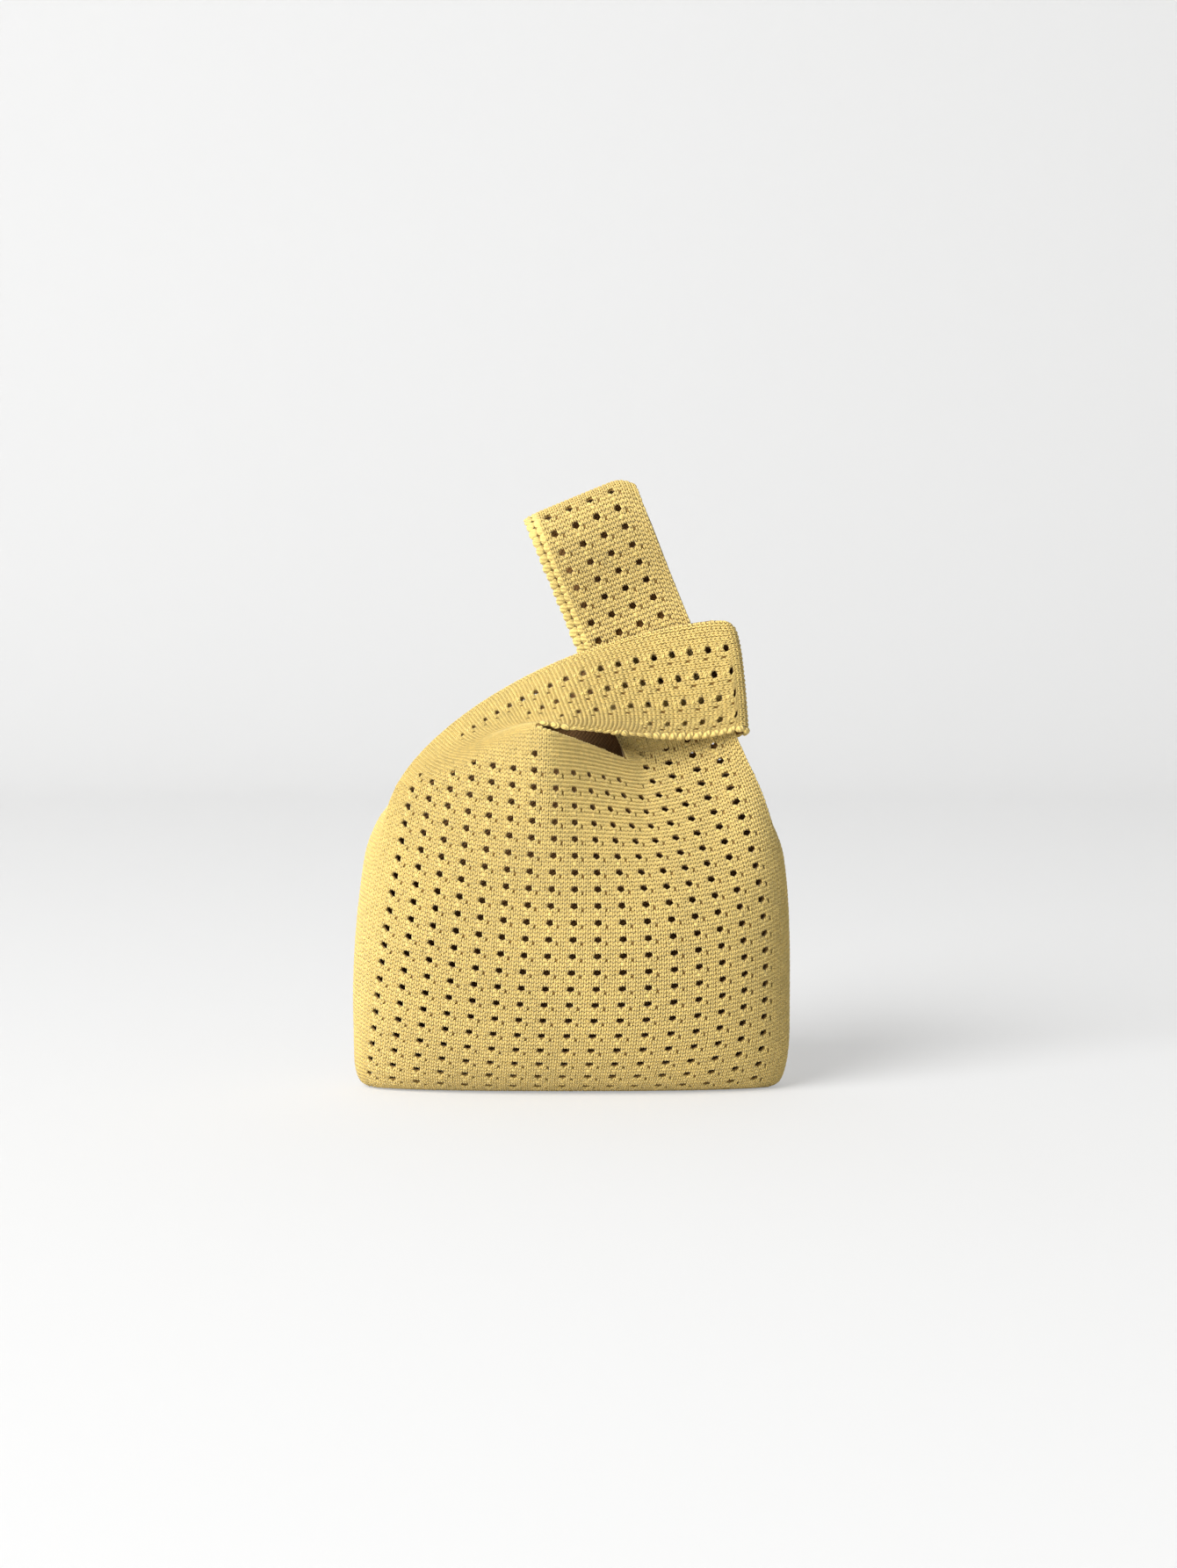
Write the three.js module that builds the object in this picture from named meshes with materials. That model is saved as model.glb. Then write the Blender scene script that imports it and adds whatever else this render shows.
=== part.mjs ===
// Knit shoulder bag of the knot kind: a pillow-shaped eyelet-knit body, a short strap that
// makes a loop, and a long strap that passes up through the loop and ends in a hand grip.
// Millimetres, +Z up, X along the bag's width, the front faces -Y.
// The origin is at the middle of the flat strip that the bag stands on.
import * as THREE from 'three';

// Driving dimensions of the body
const BODY_WIDTH = 222;
const BODY_DEPTH = 104;
const BASE_LENGTH = 200;
const BASE_DEPTH = 34;
const BELLY_HEIGHT = 82;        // where the body is deepest
const SIDE_ROUND_HEIGHT = 40;   // where the body is widest
const ARMHOLE_HEIGHT = 146;     // where front and back part company at the sides
const ARMHOLE_DIP = 5;
const NECK_HEIGHT = 187;        // top of the front mouth peak
const NECK_DEPTH = 28;          // front to back at that height, peak left out
const NECK_WIDTH = 187;         // width that the body tapers to at that height
const SECTION_POWER = 2.4;      // 2 is an ellipse, more is boxier
const KNIT = 3;                 // thickness of the knit
const SEAM_GAP = 0.3;           // clearance between linked pieces
const FRONT = -1;
const BACK = 1;

// Driving dimensions of the mouth
const PEAK_X = -16;
const PEAK_REACH = 24;          // how far the front peak stands proud
const BACK_PEAK_REACH = 14;
const PEAK_START_HEIGHT = 100;
const PEAK_SPREAD_LEFT = 22;
const PEAK_SPREAD_RIGHT = 30;
const PEAK_LEAN = 0.1;          // how far the ridge wanders left for each millimetre below the peak
const NECK_LEFT = { x: -25, z: 183.5 };
const NECK_RIGHT = { x: 27.5, z: 168 };
const NECK_MIDDLE = { x: 5, z: 177 };
const HEM_HEIGHT = 15;
const HEM_END_HEIGHT = 4;
const PANEL_COLUMNS = 32;       // facets across a panel, shared with its hem

// Share of the front's width where each strap begins, and the crease beside each gusset
const STRAP_SHARE = 0.25;
const LEFT_CREASE = THREE.MathUtils.degToRad(24);
const RIGHT_CREASE = THREE.MathUtils.degToRad(16);

// Driving dimensions of the short strap and its loop
const LOOP_TOP = 241;
const LOOP_BOTTOM = 183.5;
const LOOP_START_X = 0;         // where the arms end and the loop begins
const LOOP_START_GAP = 0.9;     // clearance there, for the loop to lean
const LOOP_FOLD_X = 85;         // centre of the fold at the loop's end, at its lower edge
const LOOP_SLANT = 7;           // how much further left the fold lies at the upper edge
const SHOULDER_RISE = 45;
const SHOULDER_SWEEP = 88;
const SHOULDER_DROP = 15;
const SHOULDER_INWARD = 5;      // the strap's outer edge leans in by this much as it rises
const LOOP_EASE = 2;            // the loop's layers close in by this much towards the fold
const LIP_TUCK = 8;             // the loop's lower edge draws back from the mouth by this much
const LOOP_SAG = 7;
const SEAM_SHARE = 0.22;        // share of a strap's end fold that the linking seam takes

// Driving dimensions of the long strap and its grip
const STRAP_WIDTH = 57;
const HANDLE_LEAN = THREE.MathUtils.degToRad(22.3);
const HANDLE_FOOT_X = 54.7;
const LEAN_AXIS_HEIGHT = 178;   // the loop leans about a line at this height
const STEM_LIFT = 1.3;          // clearance above that line
const LEG_DROP = 0.4;           // clearance below it
const TIP_DISTANCE = 66.6;      // from the foot to the line where the grip tips over
const GRIP_LENGTH = 70.4;       // from that line to the top of the grip
const GRIP_GAP = 26;            // widest opening between the grip's two layers
const LAYER_GAP = 0.4;          // between the two layers where they lie together
const LOOP_CLEARANCE = 0.5;     // between the strap and the loop round it

const layerOffset = (KNIT + LAYER_GAP) / 2;
const loopOffset = LAYER_GAP / 2 + KNIT + LOOP_CLEARANCE + KNIT / 2;
const floorOffset = KNIT / 2;
const { lerp, clamp } = THREE.MathUtils;

const yarn = new THREE.MeshStandardMaterial({ color: 0xdcc06c, roughness: 0.9, metalness: 0 });
const plainYarn = new THREE.MeshStandardMaterial({ color: 0xd6ba66, roughness: 0.92, metalness: 0 });
const seamYarn = new THREE.MeshStandardMaterial({ color: 0xcaa955, roughness: 0.95, metalness: 0 });

const bag = new THREE.Group();
bag.name = 'knit_shoulder_bag';

// Body form: half width, half depth and a point of the wall

function rounded(share) {
  return Math.sqrt(1 - (1 - clamp(share, 0, 1)) ** 2);
}

function halfWidth(z) {
  const low = BASE_LENGTH / 2;
  const belly = low + (BODY_WIDTH / 2 - low) * rounded((z - floorOffset) / SIDE_ROUND_HEIGHT);
  const taper = Math.max(0, (z - SIDE_ROUND_HEIGHT) / (NECK_HEIGHT - SIDE_ROUND_HEIGHT));
  return belly - (KNIT / 2) - (BODY_WIDTH - NECK_WIDTH) / 2 * taper ** 2;
}

function halfDepth(z) {
  const low = BASE_DEPTH / 2;
  const belly = low + (BODY_DEPTH / 2 - low) * rounded((z - floorOffset) / BELLY_HEIGHT);
  const taper = Math.max(0, (z - BELLY_HEIGHT) / (NECK_HEIGHT - BELLY_HEIGHT));
  return belly - (KNIT / 2) - (BODY_DEPTH - NECK_DEPTH) / 2 * taper ** 1.8;
}

// The ridge under the mouth's peak
function peakReach(face, x, z) {
  const reach = face === FRONT ? PEAK_REACH : BACK_PEAK_REACH;
  const rise = Math.max(0, (z - PEAK_START_HEIGHT) / (NECK_HEIGHT - PEAK_START_HEIGHT));
  const off = x - PEAK_X + PEAK_LEAN * (NECK_HEIGHT - z);
  const spread = off < 0 ? PEAK_SPREAD_LEFT : PEAK_SPREAD_RIGHT;
  return reach * rise ** 1.5 * Math.exp(-((off / spread) ** 2));
}

const signedPower = (value, power) => Math.sign(value) * Math.abs(value) ** power;

// angle 0 is the right side, 90 degrees the middle of the face, 180 the left side
function wallPoint(face, angle, z) {
  const x = halfWidth(z) * signedPower(Math.cos(angle), 2 / SECTION_POWER);
  const depth = halfDepth(z) * signedPower(Math.sin(angle), 2 / SECTION_POWER);
  return new THREE.Vector3(x, face * (depth + peakReach(face, x, z)), z);
}

function angleAt(x, z) {
  const share = clamp(x / halfWidth(z), -1, 1);
  return Math.acos(signedPower(share, SECTION_POWER / 2));
}

// Top line of a face: strap foot, mouth, strap foot, in the front view

const armholeLeft = wallPoint(FRONT, Math.PI - LEFT_CREASE, ARMHOLE_HEIGHT);
const armholeRight = wallPoint(FRONT, RIGHT_CREASE, ARMHOLE_HEIGHT);
const flat = (x, z) => new THREE.Vector3(x, 0, z);
const mouthLine = new THREE.CatmullRomCurve3([
  flat(NECK_LEFT.x, NECK_LEFT.z),
  flat(PEAK_X, NECK_HEIGHT),
  flat(NECK_MIDDLE.x, NECK_MIDDLE.z),
  flat(NECK_RIGHT.x, NECK_RIGHT.z),
], false, 'centripetal');

function topLine(share) {
  const left = flat(armholeLeft.x, ARMHOLE_HEIGHT);
  const right = flat(armholeRight.x, ARMHOLE_HEIGHT);
  if (share <= STRAP_SHARE) return left.lerp(mouthLine.getPoint(0), share / STRAP_SHARE);
  if (share >= 1 - STRAP_SHARE) {
    return mouthLine.getPoint(1).lerp(right, (share - 1 + STRAP_SHARE) / STRAP_SHARE);
  }
  return mouthLine.getPoint((share - STRAP_SHARE) / (1 - 2 * STRAP_SHARE));
}

// Height that the hem takes off the panel under the mouth
function hemHeight(share) {
  const along = (share - STRAP_SHARE) / (1 - 2 * STRAP_SHARE);
  if (along <= 0 || along >= 1) return 0;
  return HEM_END_HEIGHT + (HEM_HEIGHT - HEM_END_HEIGHT) * Math.sin(Math.PI * along) ** 0.6;
}

// A point of the face's knit: share runs left to right, height from 0 at the base to 1 at top
function facePoint(face, share, height) {
  const top = topLine(share);
  const z = floorOffset + (top.z - floorOffset) * (1 - Math.cos(height * Math.PI / 2));
  const low = lerp(Math.PI - LEFT_CREASE, RIGHT_CREASE, share);
  return wallPoint(face, lerp(low, angleAt(top.x, top.z), height), z);
}

// Height share at which a stretch of knit hangs below the top line
function heightBelow(share, drop) {
  const top = topLine(share).z - floorOffset;
  return Math.acos(clamp(drop / top, 0, 1)) / (Math.PI / 2);
}

// Closed solid of a knit sheet whose middle surface is surface(u, v), u and v from 0 to 1

function knitSheet(surface, uSteps, vSteps) {
  const step = 1e-4;
  const positions = [];
  const index = [];
  const row = uSteps + 1;
  const layer = row * (vSteps + 1);
  for (const offset of [KNIT / 2, -KNIT / 2]) {
    for (let j = 0; j <= vSteps; j++) {
      for (let i = 0; i <= uSteps; i++) {
        const u = i / uSteps;
        const v = j / vSteps;
        const point = surface(u, v);
        const alongU = surface(Math.min(1, u + step), v).sub(surface(Math.max(0, u - step), v));
        const alongV = surface(u, Math.min(1, v + step)).sub(surface(u, Math.max(0, v - step)));
        point.addScaledVector(alongU.cross(alongV).normalize(), offset);
        positions.push(point.x, point.y, point.z);
      }
    }
  }
  const quad = (a, b, c, d) => index.push(a, b, c, a, c, d);
  const at = (i, j, inner) => j * row + i + (inner ? layer : 0);
  for (let j = 0; j < vSteps; j++) {
    for (let i = 0; i < uSteps; i++) {
      quad(at(i, j), at(i + 1, j), at(i + 1, j + 1), at(i, j + 1));
      quad(at(i, j, 1), at(i, j + 1, 1), at(i + 1, j + 1, 1), at(i + 1, j, 1));
    }
  }
  for (let i = 0; i < uSteps; i++) {
    quad(at(i, 0), at(i, 0, 1), at(i + 1, 0, 1), at(i + 1, 0));
    quad(at(i, vSteps), at(i + 1, vSteps), at(i + 1, vSteps, 1), at(i, vSteps, 1));
  }
  for (let j = 0; j < vSteps; j++) {
    quad(at(0, j), at(0, j + 1), at(0, j + 1, 1), at(0, j, 1));
    quad(at(uSteps, j), at(uSteps, j, 1), at(uSteps, j + 1, 1), at(uSteps, j + 1));
  }
  if (signedVolume(positions, index) < 0) index.reverse();
  const geometry = new THREE.BufferGeometry();
  geometry.setAttribute('position', new THREE.Float32BufferAttribute(positions, 3));
  geometry.setIndex(index);
  geometry.computeVertexNormals();
  return geometry;
}

function signedVolume(positions, index) {
  const corner = (i) => new THREE.Vector3().fromArray(positions, 3 * index[i]);
  let volume = 0;
  for (let i = 0; i < index.length; i += 3) {
    volume += corner(i).dot(corner(i + 1).cross(corner(i + 2))) / 6;
  }
  return volume;
}

function addPiece(group, name, geometry, material) {
  const mesh = new THREE.Mesh(geometry, material);
  mesh.name = name;
  group.add(mesh);
}

// Length of a surface line in u or v, to turn a clearance in millimetres into a share
function shareOf(surface, clearance, along) {
  let length = 0;
  const count = 24;
  const at = (t) => (along === 'u' ? surface(t, 0.5) : surface(0.5, t));
  for (let i = 0; i < count; i++) length += at(i / count).distanceTo(at((i + 1) / count));
  return clearance / length;
}

// The sheet drawn in by half a seam gap on the sides that meet a neighbour
function inset(surface, sides) {
  const du = shareOf(surface, SEAM_GAP / 2, 'u');
  const dv = shareOf(surface, SEAM_GAP / 2, 'v');
  const u0 = sides.includes('left') ? du : 0;
  const u1 = sides.includes('right') ? 1 - du : 1;
  const v0 = sides.includes('low') ? dv : 0;
  const v1 = sides.includes('high') ? 1 - dv : 1;
  return (u, v) => surface(lerp(u0, u1, u), lerp(v0, v1, v));
}

// Panels, hems, gussets and base

function addFace(face, name) {
  const panelTop = (share) => {
    const hem = hemHeight(share);
    return hem > 0 ? heightBelow(share, hem + SEAM_GAP) : heightBelow(share, SEAM_GAP);
  };
  const panel = (u, v) => facePoint(face, u, v * panelTop(u));
  addPiece(bag, `${name}_panel`, knitSheet(inset(panel, ['left', 'right', 'low']), PANEL_COLUMNS, 18), yarn);

  const hemStart = STRAP_SHARE + 1 / PANEL_COLUMNS;
  const hemColumns = Math.round(PANEL_COLUMNS * (1 - 2 * hemStart));
  const hem = (u, v) => {
    const share = lerp(hemStart, 1 - hemStart, u);
    const low = heightBelow(share, hemHeight(share));
    return facePoint(face, share, lerp(low, 1, v));
  };
  addPiece(bag, `${name}_mouth_hem`, knitSheet(hem, hemColumns, 2), plainYarn);
}

function addGusset(name, crease, left) {
  const side = left ? -1 : 1;
  const gusset = (u, v) => {
    const turn = lerp(-crease, crease, u);
    const top = ARMHOLE_HEIGHT - ARMHOLE_DIP * Math.cos(turn / crease * Math.PI / 2);
    const z = floorOffset + (top - floorOffset) * (1 - Math.cos(v * Math.PI / 2));
    const point = wallPoint(FRONT, Math.abs(turn), z);
    return new THREE.Vector3(side * point.x, Math.sign(turn) * Math.abs(point.y), z);
  };
  addPiece(bag, name, knitSheet(inset(gusset, ['left', 'right', 'low']), 8, 16), plainYarn);
}

function addBase() {
  const length = halfWidth(floorOffset) - SEAM_GAP / 2;
  const depth = halfDepth(floorOffset) - SEAM_GAP / 2;
  const outline = [];
  const points = 56;
  for (let i = 0; i < points; i++) {
    const angle = 2 * Math.PI * i / points;
    outline.push(new THREE.Vector2(
      length * signedPower(Math.cos(angle), 2 / SECTION_POWER),
      depth * signedPower(Math.sin(angle), 2 / SECTION_POWER),
    ));
  }
  const strip = new THREE.ExtrudeGeometry(new THREE.Shape(outline), { depth: KNIT, bevelEnabled: false });
  addPiece(bag, 'base_strip', strip, plainYarn);
}

// Short strap: two arms that rise from the left shoulder, and the loop that they make

const faceVector = (face, x, y, z) => new THREE.Vector3(x, face * y, z);
const foldX = (u) => LOOP_FOLD_X - LOOP_SLANT * (1 - u);

function shortStrapEdges(face) {
  const outerFoot = facePoint(face, 0, 1);
  const innerFoot = facePoint(face, STRAP_SHARE, 1);
  const outer = new THREE.CubicBezierCurve3(
    outerFoot,
    outerFoot.clone().add(faceVector(face, SHOULDER_INWARD, -SHOULDER_INWARD, SHOULDER_RISE)),
    faceVector(face, foldX(0) - SHOULDER_SWEEP, loopOffset + LOOP_EASE, LOOP_TOP - SHOULDER_DROP),
    faceVector(face, foldX(0), loopOffset, LOOP_TOP),
  );
  const third = (LOOP_FOLD_X - innerFoot.x) / 3;
  const inner = new THREE.CubicBezierCurve3(
    innerFoot,
    innerFoot.clone().add(faceVector(face, third, -LIP_TUCK, LOOP_SAG)),
    faceVector(face, LOOP_FOLD_X - third, loopOffset + LOOP_EASE, LOOP_BOTTOM - LOOP_SAG),
    faceVector(face, LOOP_FOLD_X, loopOffset, LOOP_BOTTOM),
  );
  return { outer, inner };
}

// Curve parameter at which an edge crosses an X plane
function crossing(edge, x) {
  let low = 0;
  let high = 1;
  for (let i = 0; i < 40; i++) {
    const middle = (low + high) / 2;
    if (edge.getPoint(middle).x < x) low = middle;
    else high = middle;
  }
  return (low + high) / 2;
}

// A strap that leaves the face along its top line and settles into straight cross lines:
// chord(u, v) gives those lines, and shareAt(u) the place on the face that a line of knit comes from
function strapFromFace(face, chord, shareAt) {
  const step = 1e-3;
  const raw = (u, v) => {
    const foot = facePoint(face, shareAt(u), 1).sub(chord(u, 0));
    return chord(u, v).addScaledVector(foot, (1 - v) ** 2);
  };
  return (u, v) => {
    const leaving = raw(u, step).sub(raw(u, 0)).divideScalar(step);
    const arriving = facePoint(face, shareAt(u), 1).sub(facePoint(face, shareAt(u), 1 - step));
    const turn = arriving.setLength(leaving.length()).sub(leaving);
    return raw(u, v).addScaledVector(turn, v * (1 - v) ** 3);
  };
}

function addShortStrap(face, name) {
  const { outer, inner } = shortStrapEdges(face);
  const outerEnd = crossing(outer, LOOP_START_X - LOOP_START_GAP / 2);
  const innerEnd = crossing(inner, LOOP_START_X - LOOP_START_GAP / 2);
  const chord = (u, v) => outer.getPoint(v * outerEnd).lerp(inner.getPoint(v * innerEnd), u);
  const arm = strapFromFace(face, chord, (u) => u * STRAP_SHARE);
  addPiece(bag, `short_strap_${name}_arm`, knitSheet(inset(arm, ['low']), 8, 14), yarn);

  // The loop's layer runs straight in X, then turns a quarter of the fold towards the seam
  const start = LOOP_START_X + LOOP_START_GAP / 2;
  const straight = LOOP_FOLD_X - start;
  const fold = loopOffset * Math.PI / 2 * (1 - SEAM_SHARE);
  const layer = (u, v) => {
    const run = v * (straight + fold);
    if (run > straight) return foldPoint(face, (run - straight) / loopOffset, u);
    const high = crossing(outer, lerp(start, foldX(0), run / straight));
    const low = crossing(inner, lerp(start, foldX(1), run / straight));
    return outer.getPoint(high).lerp(inner.getPoint(low), u);
  };
  addPiece(loop, `loop_${name}_layer`, knitSheet(inset(layer, ['high']), 6, 18), yarn);
}

function foldPoint(face, turn, u) {
  const x = foldX(u) + loopOffset * Math.sin(turn);
  return new THREE.Vector3(x, face * loopOffset * Math.cos(turn), lerp(LOOP_TOP, LOOP_BOTTOM, u));
}

function addLoopSeam() {
  const start = Math.PI / 2 * (1 - SEAM_SHARE);
  const seam = (u, v) => {
    const turn = lerp(start, Math.PI - start, v);
    return foldPoint(FRONT, turn, u);
  };
  addPiece(loop, 'loop_end_seam', knitSheet(inset(seam, ['low', 'high']), 6, 3), seamYarn);
}

// Long strap: two legs from the right shoulder, the stem in the loop, and the grip

function strapSide(z, edge) {
  return HANDLE_FOOT_X + edge * STRAP_WIDTH / 2 / Math.cos(HANDLE_LEAN)
    - (z - LEAN_AXIS_HEIGHT) * Math.tan(HANDLE_LEAN);
}

function addLeg(face, name) {
  const top = LEAN_AXIS_HEIGHT - LEG_DROP;
  const edge = (share, side) => {
    const foot = facePoint(face, share, 1);
    const head = faceVector(face, strapSide(top, side), layerOffset, top);
    const bend = new THREE.Vector3(lerp(foot.x, head.x, 0.3), head.y, (foot.z + top) / 2);
    return new THREE.QuadraticBezierCurve3(foot, bend, head);
  };
  const inner = edge(1 - STRAP_SHARE, -1);
  const outer = edge(1, 1);
  const chord = (u, v) => inner.getPoint(v).lerp(outer.getPoint(v), u);
  const leg = strapFromFace(face, chord, (u) => lerp(1 - STRAP_SHARE, 1, u));
  addPiece(bag, `long_strap_${name}_leg`, knitSheet(inset(leg, ['low']), 8, 8), yarn);
}

// Everything past the foot is drawn in the leaning strap's own frame, X across and Z along it
function leaningGroup(name) {
  const group = new THREE.Group();
  group.name = name;
  group.position.set(HANDLE_FOOT_X, 0, LEAN_AXIS_HEIGHT);
  group.rotation.y = -HANDLE_LEAN;
  bag.add(group);
  return group;
}

const footRadius = KNIT + LAYER_GAP / 2;
const stemTop = TIP_DISTANCE - footRadius - SEAM_GAP;

function addStem(group, face, name) {
  const half = STRAP_WIDTH / 2;
  const cut = (x) => (STEM_LIFT - x * Math.sin(HANDLE_LEAN)) / Math.cos(HANDLE_LEAN);
  const outline = new THREE.Shape([
    new THREE.Vector2(-half, cut(-half)),
    new THREE.Vector2(half, cut(half)),
    new THREE.Vector2(half, stemTop),
    new THREE.Vector2(-half, stemTop),
  ]);
  const plate = new THREE.ExtrudeGeometry(outline, { depth: KNIT, bevelEnabled: false });
  plate.rotateX(Math.PI / 2);
  plate.translate(0, face * layerOffset + KNIT / 2, 0);
  addPiece(group, `handle_${name}_stem`, plate, yarn);
}

// Middle line of one layer of the grip: offset from the strap's middle plane, and height
const crownRadius = (GRIP_GAP + KNIT) / 2;
const crownHeight = GRIP_LENGTH - crownRadius - KNIT / 2;

function gripLine(distance) {
  if (distance <= crownHeight) {
    const rise = clamp(distance / crownHeight, 0, 1);
    return { y: lerp(layerOffset, crownRadius, rise * rise * (3 - 2 * rise)), z: distance };
  }
  const turn = (distance - crownHeight) / crownRadius;
  return { y: crownRadius * Math.cos(turn), z: crownHeight + crownRadius * Math.sin(turn) };
}

// One layer as an outline in the strap's side view, its foot rounded about the tipping line
function addGrip(group, face, name) {
  const end = crownHeight + crownRadius * Math.PI / 2 * (1 - SEAM_SHARE) - SEAM_GAP / 2;
  const steps = 26;
  const inner = [];
  const outer = [];
  for (let i = 0; i <= steps; i++) {
    const line = gripLine(end * i / steps);
    const next = gripLine(end * i / steps + 0.01);
    const side = new THREE.Vector2(next.z - line.z, line.y - next.y).setLength(KNIT / 2);
    outer.push(new THREE.Vector2(face * (line.y + side.x), line.z + side.y));
    inner.push(new THREE.Vector2(face * (line.y - side.x), line.z - side.y));
  }
  const foot = [];
  const widest = Math.acos(LAYER_GAP / 2 / footRadius);
  for (let i = 1; i <= 6; i++) {
    const turn = widest * i / 6;
    foot.push(new THREE.Vector2(face * footRadius * Math.cos(turn), -footRadius * Math.sin(turn)));
  }
  const outline = new THREE.Shape([...inner.reverse().slice(0, -1), ...foot.reverse(), ...outer]);
  const layer = new THREE.ExtrudeGeometry(outline, { depth: STRAP_WIDTH, bevelEnabled: false });
  layer.applyMatrix4(new THREE.Matrix4().makeBasis(
    new THREE.Vector3(0, 1, 0),
    new THREE.Vector3(0, 0, 1),
    new THREE.Vector3(1, 0, 0),
  ));
  layer.translate(-STRAP_WIDTH / 2, 0, TIP_DISTANCE);
  addPiece(group, `grip_${name}_layer`, layer, yarn);
}

function addGripSeam(group) {
  const start = Math.PI / 2 * (1 - SEAM_SHARE) + SEAM_GAP / 2 / crownRadius;
  const seam = (u, v) => {
    const turn = lerp(start, Math.PI - start, v);
    return new THREE.Vector3(
      (u - 0.5) * STRAP_WIDTH,
      -crownRadius * Math.cos(turn),
      TIP_DISTANCE + crownHeight + crownRadius * Math.sin(turn),
    );
  };
  addPiece(group, 'grip_top_seam', knitSheet(seam, 4, 4), seamYarn);
}

const loop = new THREE.Group();
loop.name = 'loop';
bag.add(loop);
const handle = leaningGroup('handle');
const grip = leaningGroup('grip');

addBase();
addGusset('left_gusset', LEFT_CREASE, true);
addGusset('right_gusset', RIGHT_CREASE, false);
for (const [face, name] of [[FRONT, 'front'], [BACK, 'back']]) {
  addFace(face, name);
  addShortStrap(face, name);
  addLeg(face, name);
  addStem(handle, face, name);
  addGrip(grip, face, name);
}
addLoopSeam();
addGripSeam(grip);

export default bag;
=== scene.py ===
# Eyelet-knit knot bag: every piece is a knitted ground with real eyelets and modelled stitches on it.
# Sizes are millimetres until a mesh is made. Wales are the knit's columns, courses its rows.
import math
import bmesh
import bpy
import numpy as np
from mathutils import Matrix, Vector


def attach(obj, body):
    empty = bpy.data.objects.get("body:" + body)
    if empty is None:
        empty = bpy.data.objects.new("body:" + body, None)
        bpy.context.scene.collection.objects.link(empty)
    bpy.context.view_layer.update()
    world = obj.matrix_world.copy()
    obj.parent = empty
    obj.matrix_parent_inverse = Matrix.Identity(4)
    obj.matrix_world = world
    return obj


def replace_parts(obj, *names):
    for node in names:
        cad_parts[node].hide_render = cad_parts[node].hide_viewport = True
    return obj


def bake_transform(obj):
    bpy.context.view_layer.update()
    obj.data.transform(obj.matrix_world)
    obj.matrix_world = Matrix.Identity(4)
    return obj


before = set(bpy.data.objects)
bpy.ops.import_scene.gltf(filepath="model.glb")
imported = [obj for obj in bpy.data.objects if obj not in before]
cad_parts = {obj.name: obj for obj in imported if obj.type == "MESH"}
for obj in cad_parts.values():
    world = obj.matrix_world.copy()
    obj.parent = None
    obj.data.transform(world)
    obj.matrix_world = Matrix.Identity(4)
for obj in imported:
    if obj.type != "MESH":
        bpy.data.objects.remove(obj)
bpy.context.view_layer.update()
scene = bpy.context.scene
toMetres = 0.001
front, back = -1, 1
rng = np.random.default_rng(7)
print("frame loaded,", len(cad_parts), "nodes")

# points worked out along each stretch of the knit's lines
samples = {
    "face": 140, "gusset": 90, "base": 30, "edge": 600, "arm": 70, "loop": 50, "fold": 12,
    "leg": 40, "tongue": 12, "stem": 30, "opening": 40, "crown": 24,
}
bodyForm = {
    "depth": 104, "baseDepth": 34, "thickness": 3, "belly": 82, "waist": 40, "boxiness": 2.4,
    "armhole": 146, "armholeDip": 7, "armholeTuck": 0.075, "tuckFrom": 118,
    "neckHeight": 187, "neckDepth": 28, "taperPower": 1.8,
}
# half width at the base and at its fullest, the height of the round corner, and how it draws in above
sideForm = {
    "left": {"base": 106, "full": 111, "round": 14, "draw": 22, "power": 2},
    "right": {"base": 104.5, "full": 111, "round": 30, "draw": 28.4, "power": 3.4},
}
# where the ridge stands, how far it reaches, how soft and high it is, and the flat part to its right
peakForm = {
    "x": -13, "start": 96, "left": 40, "right": 44, "lean": 0.05, "softTop": 4, "soft": 10,
    front: 27, back: 14, "risePower": 1.5, "flatten": 0.95, "flatTo": 70, "fullAt": 96,
}
floorOffset = bodyForm["thickness"] / 2


def rounded(share):
    return np.sqrt(1 - (1 - np.clip(share, 0, 1)) ** 2)


def halfWidth(z, share):
    widths = []
    for f in (sideForm["left"], sideForm["right"]):
        belly = f["base"] + (f["full"] - f["base"]) * rounded((z - floorOffset) / f["round"])
        above = np.maximum(0, (z - bodyForm["waist"]) / (bodyForm["neckHeight"] - bodyForm["waist"]))
        widths.append(belly - f["draw"] * above ** f["power"])
    return np.where(share < 0, *widths)


def halfDepth(z):
    f = bodyForm
    low = f["baseDepth"] / 2
    belly = low + (f["depth"] / 2 - low) * rounded((z - floorOffset) / f["belly"])
    taper = np.maximum(0, (z - f["belly"]) / (f["neckHeight"] - f["belly"]))
    return belly - floorOffset - (f["depth"] - f["neckDepth"]) / 2 * taper ** f["taperPower"]


# other coordinate of the body's section, both as shares of their half sizes
def sectionShare(share):
    power = bodyForm["boxiness"]
    return np.maximum(0, 1 - np.abs(share) ** power) ** (1 / power)


# depth of a face: a ridge under the mouth's peak, and a ramp from it down to the long strap
def faceDepth(face, share, x, z):
    f = peakForm
    rise = np.maximum(0, (z - f["start"]) / (bodyForm["neckHeight"] - f["start"]))
    off = x - f["x"] + f["lean"] * (bodyForm["neckHeight"] - z)
    soft = f["softTop"] + f["soft"] * np.clip(1 - rise, 0, 1)
    slope = np.sqrt(off ** 2 + soft ** 2) - soft
    ramp = np.where(off < 0, 0, np.clip(slope / f["right"], 0, 1))
    left = slope / f["left"]
    reach = np.where(off < 0, np.exp(-left - 0.5 * left ** 2), 1 - ramp)
    side = np.clip((f["fullAt"] - x) / (f["fullAt"] - f["flatTo"]), 0, 1)
    flat = f["flatten"] * ramp * side ** 2 * (3 - 2 * side)
    height = rise ** f["risePower"]
    return halfDepth(z) * sectionShare(share) * (1 - flat * height) + f[face] * reach * height


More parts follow.
